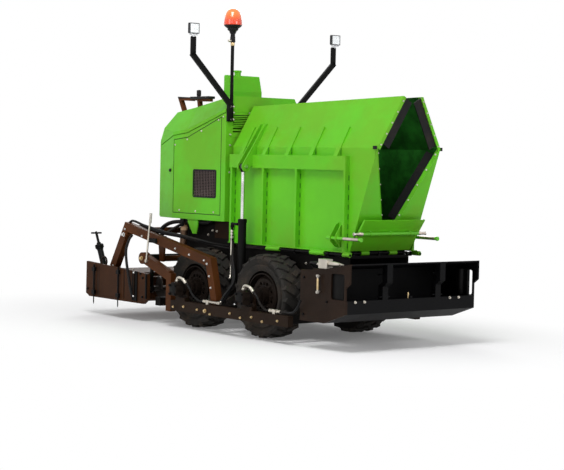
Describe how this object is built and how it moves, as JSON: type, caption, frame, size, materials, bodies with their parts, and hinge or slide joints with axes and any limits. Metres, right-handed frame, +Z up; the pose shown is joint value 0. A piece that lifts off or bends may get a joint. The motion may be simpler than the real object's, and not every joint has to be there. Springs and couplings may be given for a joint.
{
  "type": "asphalt paver",
  "caption": "Compact wheeled asphalt paver with folding hopper wings, rear engine hood, outboard wheel motors, auger and lifting screed on goose-neck arms.",
  "frame": {"origin": "on the ground, below the middle of the machine's outline", "axes": "+X forward to the hopper end, +Y left, +Z up"},
  "size_m": [4.1, 1.85, 3.062],
  "materials": {
    "green_paint": "bright yellow-green gloss paint",
    "brown_paint": "dark brown satin paint",
    "black_paint": "black satin paint",
    "steel": "bare steel",
    "chrome": "hard chrome",
    "tyre": "dusty black rubber",
    "rubber": "black rubber",
    "amber": "amber beacon dome",
    "black_plastic": "black lamp housings",
    "engine": "plain block that stands for the engine",
    "zinc": "zinc-plated steel"
  },
  "bodies": {
    "chassis": {"auger_frame": "black_paint", "beacon": "amber", "chassis_plates": "brown_paint", "control_stand": "brown_paint", "conveyor": "steel", "crossbeams": "brown_paint", "door_grilles": "black_paint", "engine_block": "engine", "fittings": "zinc", "front_box": "black_paint", "hinge_rods": "black_paint", "hood_floor": "green_paint", "hood_front": "green_paint", "hood_left": "green_paint", "hood_right": "green_paint", "hood_top": "green_paint", "hopper_deck": "black_paint", "hoses": "rubber", "hub_motors": "black_paint", "lamp_arms": "black_paint", "lift_lugs": "black_paint", "rear_brackets": "brown_paint", "side_beams": "brown_paint", "stub_axles": "steel", "top_tank": "green_paint", "work_lights": "black_plastic"},
    "wheel_front_right": {"tyre_front_right": "tyre", "rim_front_right": "black_paint"},
    "wheel_front_left": {"tyre_front_left": "tyre", "rim_front_left": "black_paint"},
    "wheel_rear_right": {"tyre_rear_right": "tyre", "rim_rear_right": "black_paint"},
    "wheel_rear_left": {"tyre_rear_left": "tyre", "rim_rear_left": "black_paint"},
    "right_wing": {"wing_right": "green_paint", "wing_frame_right": "green_paint", "wing_bar_right": "steel", "wing_flap_right": "rubber"},
    "right_ram_barrel": {"ram_barrel_right": "black_paint", "ram_hose_right": "rubber"},
    "right_ram_rod": {"ram_rod_right": "chrome"},
    "right_lift_barrel": {"lift_barrel_right": "zinc"},
    "right_lift_rod": {"lift_rod_right": "chrome"},
    "left_wing": {"wing_left": "green_paint", "wing_frame_left": "green_paint", "wing_bar_left": "steel", "wing_flap_left": "rubber"},
    "left_ram_barrel": {"ram_barrel_left": "black_paint", "ram_hose_left": "rubber"},
    "left_ram_rod": {"ram_rod_left": "chrome"},
    "left_lift_barrel": {"lift_barrel_left": "zinc"},
    "left_lift_rod": {"lift_rod_left": "chrome"},
    "front_apron": {"apron": "green_paint", "apron_tube": "steel"},
    "screed": {"screed_arms": "brown_paint", "screed_body": "brown_paint", "screed_end_plates": "brown_paint", "screed_jacks": "black_paint"},
    "auger_screw": {"auger": "steel"},
    "engine_door": {"rear_door": "green_paint"}
  },
  "joints": [
    {"name": "wheel_front_right_spin", "type": "hinge", "parent": "chassis", "child": "wheel_front_right", "pos_m": [0.679, -0.526, 0.3875], "axis": [0, 1, 0], "continuous": true},
    {"name": "wheel_front_left_spin", "type": "hinge", "parent": "chassis", "child": "wheel_front_left", "pos_m": [0.679, 0.526, 0.3875], "axis": [0, 1, 0], "continuous": true},
    {"name": "wheel_rear_right_spin", "type": "hinge", "parent": "chassis", "child": "wheel_rear_right", "pos_m": [-0.362, -0.526, 0.3875], "axis": [0, 1, 0], "continuous": true},
    {"name": "wheel_rear_left_spin", "type": "hinge", "parent": "chassis", "child": "wheel_rear_left", "pos_m": [-0.362, 0.526, 0.3875], "axis": [0, 1, 0], "continuous": true},
    {"name": "right_wing_fold", "type": "hinge", "parent": "chassis", "child": "right_wing", "pos_m": [0.87, -0.42, 0.81], "axis": [1, 0, 0], "range_deg": [0, 60]},
    {"name": "right_ram_swing", "type": "hinge", "parent": "chassis", "child": "right_ram_barrel", "pos_m": [0.2, -0.5, 0.45], "axis": [1, 0, 0], "range_deg": [0, 43]},
    {"name": "right_ram_stroke", "type": "slide", "parent": "right_ram_barrel", "child": "right_ram_rod", "axis": [0, 0, 1], "range_m": [-0.19, 0]},
    {"name": "left_wing_fold", "type": "hinge", "parent": "chassis", "child": "left_wing", "pos_m": [0.87, 0.42, 0.81], "axis": [-1, 0, 0], "range_deg": [0, 60]},
    {"name": "left_ram_swing", "type": "hinge", "parent": "chassis", "child": "left_ram_barrel", "pos_m": [0.2, 0.5, 0.45], "axis": [-1, 0, 0], "range_deg": [0, 43]},
    {"name": "left_ram_stroke", "type": "slide", "parent": "left_ram_barrel", "child": "left_ram_rod", "axis": [0, 0, 1], "range_m": [-0.19, 0]},
    {"name": "apron_fold", "type": "hinge", "parent": "chassis", "child": "front_apron", "pos_m": [1.55, 0, 0.82], "axis": [0, 1, 0], "range_deg": [0, 45]},
    {"name": "screed_lift", "type": "hinge", "parent": "chassis", "child": "screed", "pos_m": [0.049, 0, 0.205], "axis": [0, 1, 0], "range_deg": [-5, 1]},
    {"name": "right_lift_swing", "type": "hinge", "parent": "chassis", "child": "right_lift_barrel", "pos_m": [-0.85, -0.415, 0.985], "axis": [0, 1, 0], "range_deg": [-1, 4]},
    {"name": "right_lift_stroke", "type": "slide", "parent": "right_lift_barrel", "child": "right_lift_rod", "axis": [-0.0866, 0, -0.9962], "range_m": [-0.02, 0.09]},
    {"name": "left_lift_swing", "type": "hinge", "parent": "chassis", "child": "left_lift_barrel", "pos_m": [-0.85, 0.415, 0.985], "axis": [0, 1, 0], "range_deg": [-1, 4]},
    {"name": "left_lift_stroke", "type": "slide", "parent": "left_lift_barrel", "child": "left_lift_rod", "axis": [-0.0866, 0, -0.9962], "range_m": [-0.02, 0.09]},
    {"name": "auger_spin", "type": "hinge", "parent": "chassis", "child": "auger_screw", "pos_m": [-1.007, 0, 0.33], "axis": [0, 1, 0], "continuous": true},
    {"name": "engine_door_swing", "type": "hinge", "parent": "chassis", "child": "engine_door", "pos_m": [-1.322, 0.399, 1.41], "axis": [0, 0, -1], "range_deg": [0, 100]}
  ],
  "couplings": [
    {"joint": "right_ram_swing", "follows": "right_wing_fold", "ratio": 0.6996},
    {"joint": "right_ram_stroke", "follows": "right_wing_fold", "m_per_rad": -0.1788},
    {"joint": "right_lift_swing", "follows": "screed_lift", "ratio": -0.757},
    {"joint": "right_lift_stroke", "follows": "screed_lift", "m_per_rad": -0.9816},
    {"joint": "left_ram_swing", "follows": "left_wing_fold", "ratio": 0.6996},
    {"joint": "left_ram_stroke", "follows": "left_wing_fold", "m_per_rad": -0.1788},
    {"joint": "left_lift_swing", "follows": "screed_lift", "ratio": -0.757},
    {"joint": "left_lift_stroke", "follows": "screed_lift", "m_per_rad": -0.9816}
  ]
}
